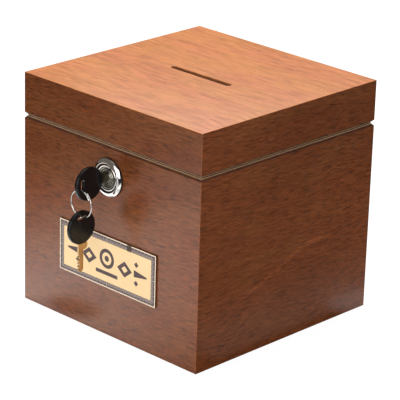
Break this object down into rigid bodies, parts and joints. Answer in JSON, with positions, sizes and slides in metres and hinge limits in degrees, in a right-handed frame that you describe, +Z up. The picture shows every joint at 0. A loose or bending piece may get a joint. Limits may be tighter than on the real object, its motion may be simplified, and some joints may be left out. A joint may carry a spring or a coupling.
{
  "type": "tip box",
  "caption": "Cube-shaped laminated wooden collection box with a coin slot in its hinged lid, a cam lock with keys on a ring, and a bordered plate on the front.",
  "frame": {"origin": "centre of the underside, midway between the outer faces of the walls", "axes": "+X to the right as seen from the front, +Y from the front wall with the lock to the back wall with the hinges, +Z up"},
  "size_m": [0.152, 0.1849, 0.15],
  "materials": {
    "wood_laminate": "satin printed wood laminate",
    "base_board": "plain fibreboard",
    "plate": "printed cream, with a dark border",
    "adhesive_pad": "foam tape",
    "lock_chrome": "polished",
    "plug_metal": "nickel, a little worn",
    "zinc_steel": "zinc plated",
    "brass": "satin",
    "key_brass": "satin, reddish",
    "ring_wire": "nickel plated wire",
    "black_plastic": "glossy moulded"
  },
  "bodies": {
    "box": {"body_front_panel": "wood_laminate", "body_back_panel": "wood_laminate", "body_left_panel": "wood_laminate", "body_right_panel": "wood_laminate", "base_panel": "base_board", "name_plate": "plate", "plate_adhesive_pad": "adhesive_pad", "lock_housing": "lock_chrome", "lock_washer": "zinc_steel", "lock_nut": "zinc_steel", "hinge_body_leaf_left": "brass", "hinge_body_leaf_right": "brass", "hinge_pin_left": "zinc_steel", "hinge_pin_right": "zinc_steel", "hinge_body_screws": "brass"},
    "lid": {"lid_top_panel": "wood_laminate", "lid_front_panel": "wood_laminate", "lid_back_panel": "wood_laminate", "lid_left_panel": "wood_laminate", "lid_right_panel": "wood_laminate", "hinge_lid_leaf_left": "brass", "hinge_lid_leaf_right": "brass", "hinge_lid_screws": "brass", "keeper_bracket": "zinc_steel", "keeper_screws": "zinc_steel"},
    "lock_cylinder": {"lock_plug": "plug_metal", "lock_wafers": "brass", "stop_washer": "zinc_steel", "lock_cam": "zinc_steel", "cam_screw": "zinc_steel"},
    "key": {"key_head": "black_plastic", "key_blade": "key_brass"},
    "ring": {"key_ring": "ring_wire"},
    "spare_key": {"spare_key_head": "black_plastic", "spare_key_blade": "key_brass"}
  },
  "joints": [
    {"name": "lid_open", "type": "hinge", "parent": "box", "child": "lid", "pos_m": [0, 0.0744, 0.1225], "axis": [-1, 0, 0], "range_deg": [0, 95]},
    {"name": "lock_turn", "type": "hinge", "parent": "box", "child": "lock_cylinder", "pos_m": [0, -0.076, 0.1027], "axis": [0, 1, 0], "range_deg": [0, 90]},
    {"name": "key_slide", "type": "slide", "parent": "lock_cylinder", "child": "key", "axis": [0, -1, 0], "range_m": [0, 0.02]},
    {"name": "ring_hang", "type": "hinge", "parent": "key", "child": "ring", "pos_m": [0, -0.0984, 0.09635], "axis": [0, 1, 0], "range_deg": [-90, 0]},
    {"name": "spare_key_swing", "type": "hinge", "parent": "ring", "child": "spare_key", "pos_m": [0, -0.0984, 0.083], "axis": [1, 0, 0], "range_deg": [-45, 30]}
  ],
  "couplings": [
    {"joint": "ring_hang", "follows": "lock_turn", "ratio": -1}
  ]
}
